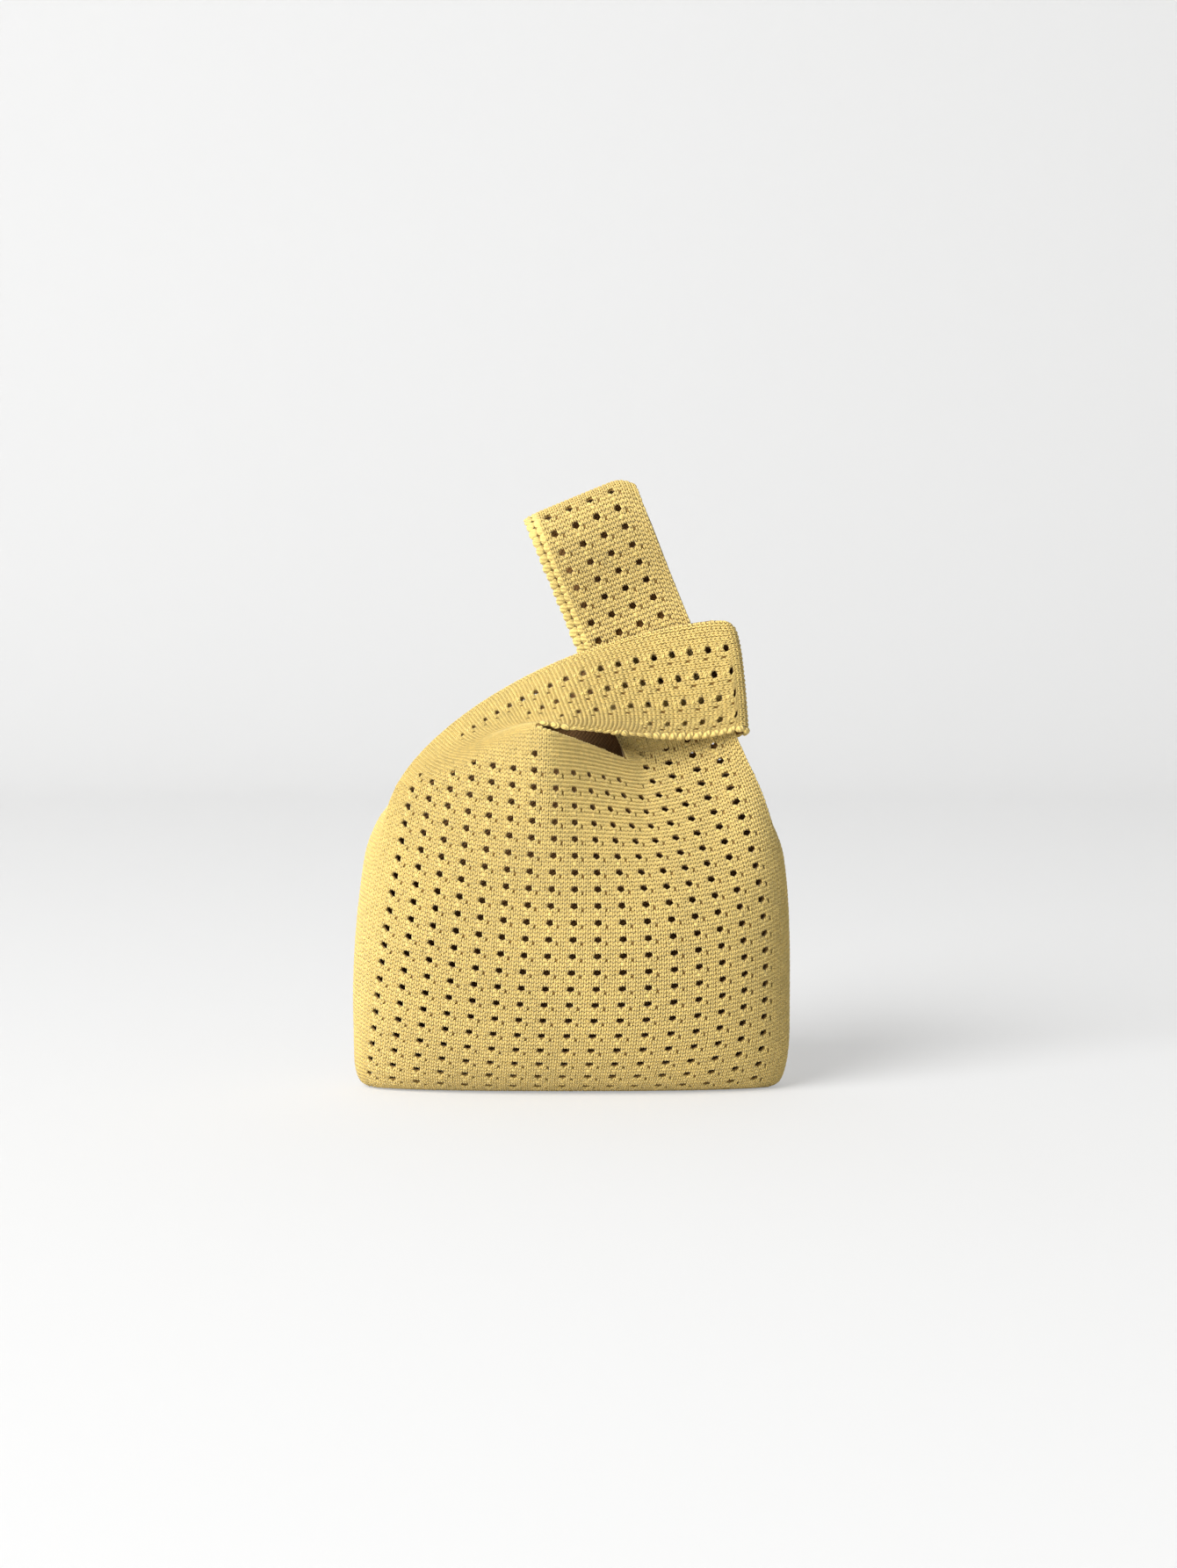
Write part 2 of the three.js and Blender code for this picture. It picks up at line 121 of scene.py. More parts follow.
faceKnit = {
    "strap": 25, "foot": 36, "ridge": 4.5, "ridgeX": -7, "armholes": (-92, 98.6), "middleHeight": 103,
    "course": 2.15, "centreCourse": 2.08, "leftCourse": 2.25, "firstRow": 9.5, "plainBase": 2,
    # shares of the half width at four wales, low down and at the belly
    "band": 5.5, "low": (-0.985, -0.944, 0.852, 0.965), "middle": (-0.955, -0.833, 0.868, 0.965),
    # four places of the mouth's curve, and the plain courses under it and under the strap's foot
    front: {
        "wales": 91, "longer": 1, "rowShift": 0, "plainNeck": (7.2, 2.5),
        "plainFoot": ((18, 35, 37), (-2, 7, -2)),
        "mouth": ((-16, 187), (-2.5, 181.8), (12, 176), (28.5, 168.2)),
    },
    back: {
        "wales": 86, "longer": 1.07, "rowShift": 3, "plainNeck": (12, 12),
        "plainFoot": ((0, 86), (-2, -2)),
        "mouth": ((-16, 187), (0, 190), (14, 187), (28.5, 174)),
        "eyelet": (0.76, 0.56), "legEyelet": (0.5, 0.4),
    },
}
strap = faceKnit["strap"]
justBelow = 0.999  # share of a face's height, next to its top line


# smooth curve through a few knots that never turns back
def smoothly(at, knots, values):
    knots, values = np.array(knots, float), np.array(values, float)
    slope = np.diff(values) / np.diff(knots)
    turn = np.concatenate([slope[:1], 2 * slope[:-1] * slope[1:] / (slope[:-1] + slope[1:]), slope[-1:]])
    i = np.clip(np.searchsorted(knots, at, side="right") - 1, 0, len(slope) - 1)
    step = np.diff(knots)[i]
    t = (at - knots[i]) / step
    rest = 1 - t
    return (values[i] * (1 + 2 * t) * rest ** 2 + values[i + 1] * (3 - 2 * t) * t ** 2
            + step * t * rest * (turn[i] * rest - turn[i + 1] * t))


# top line of a face in the front view: strap foot, mouth, strap foot
def topLine(face, w):
    k = faceKnit
    foot = k["foot"]
    wales, mouth = k[face]["wales"], np.array(k[face]["mouth"], float)
    leftX, rightX = k["armholes"]
    x = smoothly(w, (0, foot, foot + k["ridge"], wales - strap, wales),
                 (leftX, mouth[0, 0], k["ridgeX"], mouth[-1, 0], rightX))
    z = np.polyval(np.polyfit(*mouth.T, 3), np.clip(x, mouth[0, 0], mouth[-1, 0]))
    left = np.clip(1 - w / foot, 0, 1)
    right = np.clip((w - wales + strap) / strap, 0, 1)
    return x, z + (bodyForm["armhole"] - z) * (left + right)


# a point of a face: wale w, and height from 0 at the base to 1 at the top line
def wall(face, w, height):
    k = faceKnit
    wales, band = k[face]["wales"], k["band"]
    topX, topZ = topLine(face, w)
    z = floorOffset + (topZ - floorOffset) * (1 - np.cos(height * np.pi / 2))
    s = (z - floorOffset) / (topZ - floorOffset)
    m = (k["middleHeight"] - floorOffset) / (topZ - floorOffset)
    low, middle = (np.interp(w, (0, band, wales - band, wales), k[name]) for name in ("low", "middle"))
    share = (low * (s - m) * (s - 1) / m + middle * s * (s - 1) / (m * (m - 1))
             + topX / halfWidth(topZ, topX) * s * (s - m) / (1 - m))
    x = halfWidth(z, share) * share
    return np.stack([x, face * faceDepth(face, share, x, z), z], -1)


def halfWales(count):
    return np.linspace(0, count, 2 * count + 1)[:, None]


def bezier(points, t):
    n = len(points) - 1
    return sum(math.comb(n, i) * (t ** i * (1 - t) ** (n - i))[:, None] * p for i, p in enumerate(points))


def unit(vectors):
    return vectors / np.maximum(1e-9, np.linalg.norm(vectors, axis=-1, keepdims=True))


# top line of a face, and the way that its wales run there
def strapFoot(face, w):
    foot = wall(face, w, 1.0)[:, 0]
    return foot, foot - wall(face, w, justBelow)[:, 0]


# turns the start of a strap's lines, so that they leave the face along its own wales
def runOn(lines, v, arriving):
    leaving = (lines[:, 1] - lines[:, 0]) / v[1]
    lengths = [np.linalg.norm(way, axis=-1, keepdims=True) for way in (leaving, arriving)]
    fade = np.clip(v, 0, 1) * np.clip(1 - v, 0, 1) ** 3
    return lines + (arriving * (lengths[0] / lengths[1]) - leaving)[:, None] * fade[None, :, None]


shortStrap = {
    "top": 239.6, "bottom": {front: 184.5, back: 181}, "startX": 0, "foldX": 84.5, "slant": 11, "bow": 0.34,
    "offset": 5.2, "rise": 37, "inward": 12, "tuckIn": 5, "sweep": 85, "drop": 9.4, "ease": 2, "tuck": 8,
    "sag": {front: (0, -10), back: (-10, -9)}, "corner": 1.5, "cornerPowers": (3, 5), "narrowTo": 45,
    "course": 2.33, "courses": 166, "wale": 2.2, "gather": 6, "bulge": 1, "valley": 1.5,
    "pastEdge": 0.3, "furthest": 1.1,  # wales past the inner edge, which the ground leaves out
    "plainFoot": ((14, 24), (-2, 20)), "plainEnd": 2, "eyelet": {front: (0.98, 0.6), back: (0.7, 0.42)},
}
foldTop = shortStrap["foldX"] - shortStrap["slant"]
armRun = np.linspace(0, 1, samples["arm"])
loopRun = np.linspace(0, 1, samples["loop"])[1:]


# outer and inner edge of the short strap, from the shoulder to the fold
def shortEdges(face, foot):
    s = shortStrap

    def point(x, y, z):
        return np.array([x, face * y, z])

    # the arm goes as far as startX, and the loop goes on in even steps of x
    def followed(corners):
        t = np.linspace(0, 1, samples["edge"])
        crossing = lambda x: np.interp(x, bezier(corners, t)[:, 0], t)
        loopX = s["startX"] + (corners[-1][0] - s["startX"]) * loopRun
        return bezier(corners, np.concatenate([armRun * crossing(s["startX"]), crossing(loopX)]))

    bottom, sag = s["bottom"][face], s["sag"][face]
    third = (s["foldX"] - foot[-1, 0]) / 3
    outer = [foot[0], foot[0] + point(s["inward"], -s["tuckIn"], s["rise"]),
             point(foldTop - s["sweep"], s["offset"] + s["ease"], s["top"] - s["drop"]),
             point(foldTop, s["offset"], s["top"])]
    inner = [foot[-1], foot[-1] + point(third, -s["tuck"], sag[0]),
             point(s["foldX"] - third, s["offset"] + s["ease"], bottom + sag[1]),
             point(s["foldX"], s["offset"], bottom)]
    return followed(outer), followed(inner)


# lines between the two edges, gathered where the wales are more than fit
def gatheredLines(face, edges, w, width):
    s = shortStrap
    way = unit(np.gradient(edges[0], axis=0))
    chord = edges[1] - edges[0]
    square = np.linalg.norm(chord - (chord * way).sum(-1, keepdims=True) * way, axis=-1)
    excess = np.maximum(1, s["wale"] * width / square)
    gathered = lambda share: excess * share / (1 + (excess * share) ** s["gather"]) ** (1 / s["gather"])
    u = w / width
    across = np.where(u < 1, gathered(np.minimum(u, 1)) / gathered(1), 1 + s["pastEdge"] * (u - 1))
    lines = edges[0][None] * (1 - across[..., None]) + edges[1][None] * across[..., None]
    reach = np.where(across < 0.5, s["bulge"], s["valley"])
    hump = np.clip(excess - 1, 0, 1)
    lines[..., 1] += face * reach * hump * np.sin(2 * np.pi * np.clip(across, 0, 1))
    return lines


# lines of knit of the short strap, from the left shoulder round the long strap to its fold
def shortStrapLines(face):
    s = shortStrap
    w = halfWales(faceKnit["foot"])
    foot, arriving = strapFoot(face, w)
    edges = shortEdges(face, foot)
    v = np.concatenate([armRun, 1 + loopRun])
    # wales end at the inner edge from the peak on, until the strap's own are left
    narrowed = np.clip((edges[1][:, 0] - foot[-1, 0]) / (s["narrowTo"] - foot[-1, 0]), 0, 1)
    width = faceKnit["foot"] + (strap - faceKnit["foot"]) * narrowed
    lines = gatheredLines(face, edges, w, width)
    # the strap leaves the face along its own knit and settles into straight cross lines
    lines += (foot - lines[:, 0])[:, None] * (np.clip(1 - v, 0, 1) ** 3)[None, :, None]
    lines = runOn(lines, v, arriving)
    u = np.minimum(w / strap, s["furthest"])
    bowed = s["slant"] * (u ** s["bow"] - u)
    lines[..., 0] += bowed * np.clip(v - 1, 0, 1) ** 3
    # half of the fold, to where the front and back layers meet
    turn = np.linspace(0, np.pi / 2, samples["fold"])[1:]
    bottom = s["bottom"][face]
    middle = (s["bottom"][front] + s["bottom"][back]) / 2
    low = bottom + (middle - bottom) * np.sin(turn) ** 2
    fold = np.stack(np.broadcast_arrays(
        foldTop + s["slant"] * u + bowed + s["offset"] * np.sin(turn),
        face * s["offset"] * np.cos(turn),
        s["top"] + (low - s["top"]) * u), -1)
    lines = np.concatenate([lines, fold], 1)
    near = np.clip((lines[..., 0] - (foldTop - 2 * s["corner"])) / (2 * s["corner"] + s["offset"]), 0, 1)
    along, across = s["cornerPowers"]
    lines[..., 2] -= s["corner"] * near ** along * np.maximum(0, 1 - u) ** across
    return lines, np.concatenate([width, np.full(len(turn), strap)])


longStrap = {
    "width": 57, "lean": math.radians(22.3), "footX": 54.7, "axisHeight": 178, "layer": 1.7,
    "legBend": (0.3, 1.0, 0.35), "tongue": 32, "tip": 66.6, "crownRadius": 14.5, "crownHeight": 52.9,
    "corner": {"drop": 6, "from": 0.6, "across": 2.5, "along": 6, "left": 0.1},
    "course": 2.5, "firstRow": {front: -4.5, back: -6.5}, "gripBelow": 7,
    "plainLeg": (-2, 1), "plainHandle": (1.5, 2),
}


# from the leaning strap's own frame, across and along it, to the bag's
def leaning(a, y, d):
    s = longStrap
    cos, sin = math.cos(s["lean"]), math.sin(s["lean"])
    x = s["footX"] + a * cos - d * sin
    return np.stack(np.broadcast_arrays(x, y, s["axisHeight"] + a * sin + d * cos), -1)


def acrossStrap():
    return (halfWales(strap) / strap - 0.5) * longStrap["width"]


def legLines(face):
    s = longStrap
    foot, arriving = strapFoot(face, faceKnit[face]["wales"] - strap + halfWales(strap))
    a = acrossStrap()
    level = -a * math.tan(s["lean"])
    head = leaning(a, face * s["layer"], level)[:, 0]
    bend = foot + (head - foot) * np.array(s["legBend"])
    v = np.linspace(0, 1, samples["leg"])
    lines = np.stack([bezier(places, v) for places in zip(foot, bend, head)])
    rise = np.linspace(0, s["tongue"], samples["tongue"])[1:]
    tongue = leaning(a, face * s["layer"], level + rise)
    return np.concatenate([runOn(lines, v, arriving), tongue], 1)


def handleLines(face):
    s = longStrap
    a = acrossStrap()
    stem = np.linspace(0, s["tip"], samples["stem"])
    rise = np.linspace(0, 1, samples["opening"])[1:]
    turn = np.linspace(0, np.pi / 2, samples["crown"])[1:]
    opening = s["layer"] + (s["crownRadius"] - s["layer"]) * rise ** 2 * (3 - 2 * rise)
    y = np.concatenate([np.full_like(stem, s["layer"]), opening, s["crownRadius"] * np.cos(turn)])
    crown = s["tip"] + s["crownHeight"]
    d = np.concatenate([stem, s["tip"] + s["crownHeight"] * rise, crown + s["crownRadius"] * np.sin(turn)])
    # the crown's corners hang, the right one more than the left
    corner = s["corner"]
    outward = np.clip((np.abs(a) / s["width"] * 2 - corner["from"]) / (1 - corner["from"]), 0, 1)
    upward = np.clip(d / crown, 0, 1) ** corner["along"]
    d = d - corner["drop"] * outward ** corner["across"] * upward * np.where(a > 0, 1, corner["left"])
    return leaning(a, face * y, d)


gussetForm = {"left": (-1, 14), "right": (1, 13)}  # side and wales
baseForm = {"wales": 82, "course": 2.2, "ends": 0.985}


def gussetLines(side, wales):
    f = bodyForm
    g = halfWales(wales) / wales * 2 - 1
    height = np.linspace(0, 1, samples["gusset"])
    crease = wall(front, np.array([[0 if side < 0 else faceKnit[front]["wales"]]]), height)[0]
    top = f["armhole"] - f["armholeDip"] * np.cos(g * np.pi / 2)
    z = floorOffset + (top - floorOffset) * (1 - np.cos(height * np.pi / 2))
    depth = np.interp(z, crease[:, 2], np.abs(crease[:, 1])) * g * side
    upward = np.maximum(0, (z - f["tuckFrom"]) / (f["armhole"] - f["tuckFrom"]))
    tuck = f["armholeTuck"] * upward ** 2 * (1 - g ** 2)
    x = side * halfWidth(z, side) * sectionShare(depth / halfDepth(z)) * (1 - tuck)
    return np.stack([x, depth, z], -1)


def baseLines():
    f = baseForm
    along = (halfWales(f["wales"]) / f["wales"] * 2 - 1) * f["ends"]
    x = along * halfWidth(floorOffset, along)
    y = halfDepth(floorOffset) * sectionShare(along) * np.linspace(1, -1, samples["base"])
    return np.stack(np.broadcast_arrays(x, y, floorOffset), -1)


# courses laid off along each line, from its start or back from its end
def laidOff(lines, course, fromTop=False):
    steps = np.linalg.norm(np.diff(lines, axis=1), axis=-1)
    run = np.concatenate([np.zeros((len(lines), 1)), np.cumsum(steps, 1)], 1) / course
    return run - run[:, -1:] if fromTop else run


# size is the half width in wales and half height in courses; squeezed and full are widths of a wale
eyeletForm = {
    "firstColumn": 5.5, "columnStep": 5, "rowStep": 4, "fromEdge": 1.5,
    "size": (0.94, 0.71), "shape": 1.25, "spade": 0.3, "reach": 3, "squeezed": 1.5, "full": 1.95,
}
fabricForm = {"beyond": 4, "soften": 0.25, "flattest": 0.3}


# a fabric is a table of points and normals over half wales and half courses
def fabricOf(lines, courses, columns=(), firstRow=0, plainLow=0, plainHigh=0, smooth=3, eyelet=None):
    beyond, soften = fabricForm["beyond"], fabricForm["soften"]
    step = [lines[:, 0] - lines[:, 1], lines[:, -1] - lines[:, -2]]
    per = [courses[:, 1] - courses[:, 0], courses[:, -1] - courses[:, -2]]
    ends = [lines[:, i] + s / p[:, None] * beyond for i, s, p in zip((0, -1), step, per)]
    lines = np.concatenate([ends[0][:, None], lines, ends[1][:, None]], 1)
    low, high = courses[:, 0], courses[:, -1]
    courses = np.concatenate([low[:, None] - beyond, courses, high[:, None] + beyond], 1)
    first, last = math.floor(low.min()) - beyond, math.ceil(high.max()) + beyond
    grid = np.linspace(first, last, 2 * (last - first) + 1)
    points = np.stack([np.stack([np.interp(grid, c, line[:, i]) for i in range(3)], -1)
                       for c, line in zip(courses, lines)])
    for _ in range(smooth):
        points[1:-1] += soften * (points[:-2] - 2 * points[1:-1] + points[2:])
        points[:, 1:-1] += soften * (points[:, :-2] - 2 * points[:, 1:-1] + points[:, 2:])
    wales, count = np.arange(len(lines)) / 2, len(lines) // 2
    spacing = np.pad(np.linalg.norm(points[2:] - points[:-2], axis=-1), ((1, 1), (0, 0)), "edge")
    return {
        "points": points, "normals": unit(np.cross(np.gradient(points, axis=0), np.gradient(points, axis=1))),
        "spacing": spacing[..., None], "first": first, "wales": wales, "count": count,
        "columns": np.array(columns, float), "firstRow": firstRow, "eyelet": eyelet or eyeletForm["size"],
        "low": lambda w: np.interp(w, wales, low), "high": lambda w: np.interp(w, wales, high),
        "left": lambda c: 0 * c, "right": lambda c: count + 0 * c,
        "plainLow": plainLow, "plainHigh": plainHigh,
    }


# width of a wale where an eyelet stands
def spacingAt(fabric, column, row):
    spacing = fabric["spacing"]
    j = np.clip(2 * (row - fabric["first"]), 0, spacing.shape[1] - 1).astype(int)
    return spacing[(2 * column).astype(int), j, 0]


# nearest eyelet of each place, and whether the knit has one there
def nearestEyelet(fabric, w, c):
    columns, step, aside = fabric["columns"], eyeletForm["rowStep"], eyeletForm["fromEdge"]
    if not len(columns):
        return w, c, np.zeros(np.shape(w), bool)
    column = columns[np.abs(w[..., None] - columns).argmin(-1)]
    row = fabric["firstRow"] + step * np.round((c - fabric["firstRow"]) / step)
    plain = [fabric["plainLow"], fabric["plainHigh"]]
    low, high = (edge(column) if callable(edge) else edge for edge in plain)
    real = (row > fabric["low"](column) + low) & (row < fabric["high"](column) - high)
    real &= (column > fabric["left"](row) + aside) & (column < fabric["right"](row) - aside)
    real &= spacingAt(fabric, column, row) > eyeletForm["squeezed"]
    return column, row, real


# flat places in wales, courses and millimetres of height, laid on the fabric's surface in metres
def wrap(fabric, flat):
    e = eyeletForm
    w, c, h = flat.T.astype(float)
    # the knit is pushed aside round each eyelet
    column, row, real = nearestEyelet(fabric, w, c)
    wide, high = fabric["eyelet"]
    b = (c - row) / high
    a = (w - column) / wide / (1 - e["spade"] * np.clip(b, -1, 1))
    r = np.maximum(1e-6, (np.abs(a) ** e["shape"] + np.abs(b) ** e["shape"]) ** (1 / e["shape"]))
    opened = np.clip((spacingAt(fabric, column, row) - e["squeezed"]) / (e["full"] - e["squeezed"]), 0, 1)
    nearness = np.clip((e["reach"] - r) / (e["reach"] - 1), 0, 1)
    push = np.where(real & (r < e["reach"]), (r ** 3 + opened * nearness) ** (1 / 3) / r, 1)
    w = np.where(real, column + (w - column) * push, w)
    c = np.where(real, row + (c - row) * push, c)
    table = fabric["points"]
    i, j = 2 * w, 2 * (c - fabric["first"])
    i0 = np.clip(np.floor(i).astype(int), 0, table.shape[0] - 2)
    j0 = np.clip(np.floor(j).astype(int), 0, table.shape[1] - 2)
    a, b = (i - i0)[:, None], (j - j0)[:, None]

    def at(grid):
        low = grid[i0, j0] * (1 - a) + grid[i0 + 1, j0] * a
        return low * (1 - b) + (grid[i0, j0 + 1] * (1 - a) + grid[i0 + 1, j0 + 1] * a) * b

    flatter = np.clip(at(fabric["spacing"]) / e["full"], fabricForm["flattest"], 1)
    return (at(table) + unit(at(fabric["normals"])) * flatter * h[:, None]) * toMetres


def vertexPlaces(mesh):
    places = np.empty(len(mesh.vertices) * 3, np.float32)
    mesh.vertices.foreach_get("co", places)
    return places.reshape(-1, 3)


def setPlaces(mesh, places):
    mesh.vertices.foreach_set("co", places.astype(np.float32).ravel())
    mesh.update()


def addUv(mesh, name, values):
    corners = np.empty(len(mesh.loops), np.int32)
    mesh.loops.foreach_get("vertex_index", corners)
    layer = mesh.uv_layers.new(name=name, do_init=False)
    layer.uv.foreach_set("vector", values[corners].astype(np.float32).ravel())


def meshOf(name, bm):
    mesh = bpy.data.meshes.new(name)
    bm.to_mesh(mesh)
    bm.free()
    return mesh


def newPiece(name, mesh, material):
    mesh.polygons.foreach_set("use_smooth", np.ones(len(mesh.polygons), bool))
    mesh.materials.clear()
    mesh.materials.append(material)
    piece = bpy.data.objects.new(name, mesh)
    scene.collection.objects.link(piece)
    return piece


# heights of the slab's two sides, how eyelet corners draw in, how far a rim is moved to its edge,
# and the share of the bake's width that each side takes
groundForm = {"inner": -1.3, "outer": 0.0, "diamond": 0.72, "snap": 0.51, "bakeWidth": 0.49}


# closed slab under the stitches, with a hole at each eyelet
def ground(name, fabric, low, high, materials):
    g = groundForm
    wales, w = fabric["count"], fabric["wales"]
    first, last = math.floor(low(w).min()), math.ceil(high(w).max())
    bm = bmesh.new()
    bmesh.ops.create_grid(bm, x_segments=2 * wales, y_segments=2 * (last - first), size=0.5)
    spread = Matrix.Diagonal((wales, last - first, 1, 1))
    place = Matrix.Translation((wales / 2, (first + last) / 2, 0)) @ spread
    bmesh.ops.transform(bm, matrix=place, verts=bm.verts[:])
    middles = np.array([f.calc_center_median()[:2] for f in bm.faces])
    column, row, real = nearestEyelet(fabric, *middles.T)
    hole = real & (np.abs(middles - np.stack([column, row], -1)) < 0.5).all(1)
    x, y = middles.T
    gone = hole | (y < low(x)) | (y > high(x)) | (x < fabric["left"](y)) | (x > fabric["right"](y))
    bmesh.ops.delete(bm, geom=[f for f, out in zip(bm.faces[:], gone) if out], context="FACES")
    for v in bm.verts:
        if v.is_boundary:
            for edge in (low(v.co.x), high(v.co.x)):
                if abs(v.co.y - edge) < g["snap"]:
                    v.co.y = edge
            for edge in (fabric["left"](v.co.y), fabric["right"](v.co.y)):
                if abs(v.co.x - edge) < g["snap"]:
                    v.co.x = edge
    bmesh.ops.translate(bm, vec=(0, 0, g["inner"]), verts=bm.verts[:])
    # eyelets are diamonds: the corners of each hole, half a wale and half a course off, are drawn in
    places = np.array([v.co[:2] for v in bm.verts])
    column, row, real = nearestEyelet(fabric, *places.T)
    centres = np.stack([column, row], -1)
    off = places - centres
    corner = real & (np.abs(np.abs(off) - 0.5) < 0.1).all(1)
    for v, isCorner, drawnIn in zip(bm.verts, corner, centres + off * g["diamond"]):
        if isCorner:
            v.co.xy = drawnIn
    upper = bmesh.ops.extrude_face_region(bm, geom=bm.faces[:])["geom"]
    bmesh.ops.translate(bm, vec=(0, 0, g["outer"] - g["inner"]),
                        verts=[v for v in upper if isinstance(v, bmesh.types.BMVert)])
    bmesh.ops.recalc_face_normals(bm, faces=bm.faces[:])
    mesh = meshOf(name, bm)
    flat = vertexPlaces(mesh)
    addUv(mesh, "knitGrid", flat[:, :2])
    # the outside is baked in the left half, the inside in the right
    bakeX = flat[:, 0] / wales * g["bakeWidth"] + (flat[:, 2] < 0) * 0.5
    addUv(mesh, "OFBake", np.stack([bakeX, (flat[:, 1] - first) / (last - first)], -1))
    setPlaces(mesh, wrap(fabric, flat))
    piece = newPiece(name, mesh, materials[0])
    mesh.materials.append(materials[1])
    # faces on the slab's inner side take the inside material, painted shade of the bag's inside
    innermost = 0.95 * g["inner"]
    dark = np.array([flat[list(f.vertices), 2].mean() for f in mesh.polygons]) < innermost
    mesh.polygons.foreach_set("material_index", dark.astype(np.int32))
    return piece


# grains of yarn: sizes across and along in wales and courses, heights in millimetres
stitchForm = {
    "apart": 0.25, "wide": 0.29, "long": 0.78, "lean": 0.12, "high": 0.66, "tilt": 0.28, "lift": 0.6,
}
knotForm = {"wide": 0.62, "long": 0.7, "high": 0.75, "lift": 0.5, "below": 0.85, "aside": -0.5}
nubForm = {"wide": 0.7, "long": 0.75, "high": 0.8, "lift": 0.6, "below": 2}
rimForm = {"wide": 0.75, "long": 0.55, "high": 1.3, "lift": 0}
pinhole = (2, -1)  # wales and courses from its eyelet
sameStitch = 0.3  # wales and courses within which a stitch stands at an eyelet
uneven = {"place": 0.03, "bump": 0.05}
# bumps along the loop's lower edge and the handle's inner edge, in millimetres; trim is in wales
ropeForm = {
    "pitch": 4.4, "along": 2.7, "across": 2.0, "high": 1.6, "slant": 1.0, "lift": 0.4,
    "rows": (0.3,), "trim": 0.8, "skip": 0,
}
garterForm = {
    "pitch": 4.6, "along": 2.8, "across": 2.4, "high": 0.6, "slant": 0.4, "lift": 0.45,
    "rows": (0.2, 4.3), "trim": 2.3, "skip": 0,
}
armRope = {**ropeForm, "skip": 3}  # skip is the courses left bare at the piece's start
stemGarter = {**garterForm, "skip": 8}
edgeStep = 0.1  # courses between the places at which an edge is followed
bakeHalf = 0.45  # half of a bump's length in its cell of the bake


# rounded grain of yarn, the start of every stitch
def addGrain(bm, matrix, fine):
    grain = bmesh.ops.create_icosphere(bm, subdivisions=fine, radius=1)["verts"]
    uv = bm.loops.layers.uv.verify()
    for face in {f for v in grain for f in v.link_faces}:
        for corner in face.loops:
            corner[uv].uv = corner.vert.co.xy
    bmesh.ops.transform(bm, matrix=matrix, verts=grain)


def template(name, grains, fine=1):
    bm = bmesh.new()
    bm.loops.layers.uv.new("yarn")
    for matrix in grains:
        addGrain(bm, Matrix(matrix), fine)
    return meshOf(name, bm)


def legOf(side):
    f = stitchForm
    return ((f["wide"], side * f["lean"], 0, side * f["apart"]), (0, f["long"], 0, 0),
            (0, -f["tilt"], f["high"], f["lift"]), (0, 0, 0, 1))


def grainOf(f):
    return ((f["wide"], 0, 0, f.get("aside", 0)), (0, f["long"], 0, -f.get("below", 0)),
            (0, 0, f["high"], f["lift"]), (0, 0, 0, 1))


stitchMesh = template("stitch", [legOf(-1), legOf(1)])
halfMesh = template("halfStitch", [legOf(1)])
nubMesh = template("nub", [grainOf(nubForm)])
knotMesh = template("knot", [grainOf(knotForm)])
bumpMesh = template("grain", [Matrix.Identity(4)], 2)
rimMesh = template("rimStitch", [grainOf(rimForm)])


# a flat field of copies of a template
def copied(name, shape, *rows):
    maker = bpy.data.objects.new(name, shape)
    scene.collection.objects.link(maker)
    for axis, (count, step) in enumerate(rows):
        copies = maker.modifiers.new("copies", "ARRAY")
        copies.use_relative_offset = False
        copies.use_constant_offset = True
        copies.constant_offset_displace = [step * (i == axis) for i in range(3)]
        copies.count = count
    mesh = bpy.data.meshes.new_from_object(maker.evaluated_get(bpy.context.evaluated_depsgraph_get()))
    bpy.data.objects.remove(maker)
    return mesh


def setTone(mesh, values, each):
    tone = mesh.attributes.new("tone", "FLOAT", "POINT")
    tone.data.foreach_set("value", np.repeat(values, each).astype(np.float32))


# one copy of a template at each wale and course, kept where keep says and laid on the fabric
def field(name, fabric, shape, wales, courses, keep, material, top=None):
    steps = [values[1] - values[0] if len(values) > 1 else 1 for values in (wales, courses)]
    mesh = copied(name, shape, (len(wales), steps[0]), (len(courses), steps[1]))
    flat = vertexPlaces(mesh).reshape(len(courses), len(wales), -1, 3) + (wales[0], courses[0], 0)
    w, c = np.meshgrid(wales, courses)
    if top is not None:
        flat[..., 1] += top(w)[..., None]
        c = c + top(w)
    flat = flat + rng.normal(0, uneven["place"], flat.shape[:2] + (1, 3))
    kept = keep(w, c)
    addUv(mesh, "OFBake", np.stack([flat[..., 0].ravel() / fabric["count"],
                                    (flat[..., 1].ravel() - c.min() + 1) / (np.ptp(c) + 2)], -1))
    setTone(mesh, rng.random(kept.size), flat.shape[2])
    setPlaces(mesh, wrap(fabric, flat.reshape(-1, 3)))
    bm = bmesh.new()
    bm.from_mesh(mesh)
    vertexKept = np.repeat(kept.ravel(), flat.shape[2])
    bmesh.ops.delete(bm, geom=[v for v, stay in zip(bm.verts[:], vertexKept) if not stay], context="VERTS")
    bm.to_mesh(mesh)
    bm.free()
    return newPiece(name, mesh, material)


# one row of stitches along an upper edge
def rimRow(name, fabric, count, high, material):
    everywhere = lambda w, c: np.ones(w.shape, bool)
    return field(name, fabric, rimMesh, np.arange(count) + 0.5, np.zeros(1), everywhere, material, high)


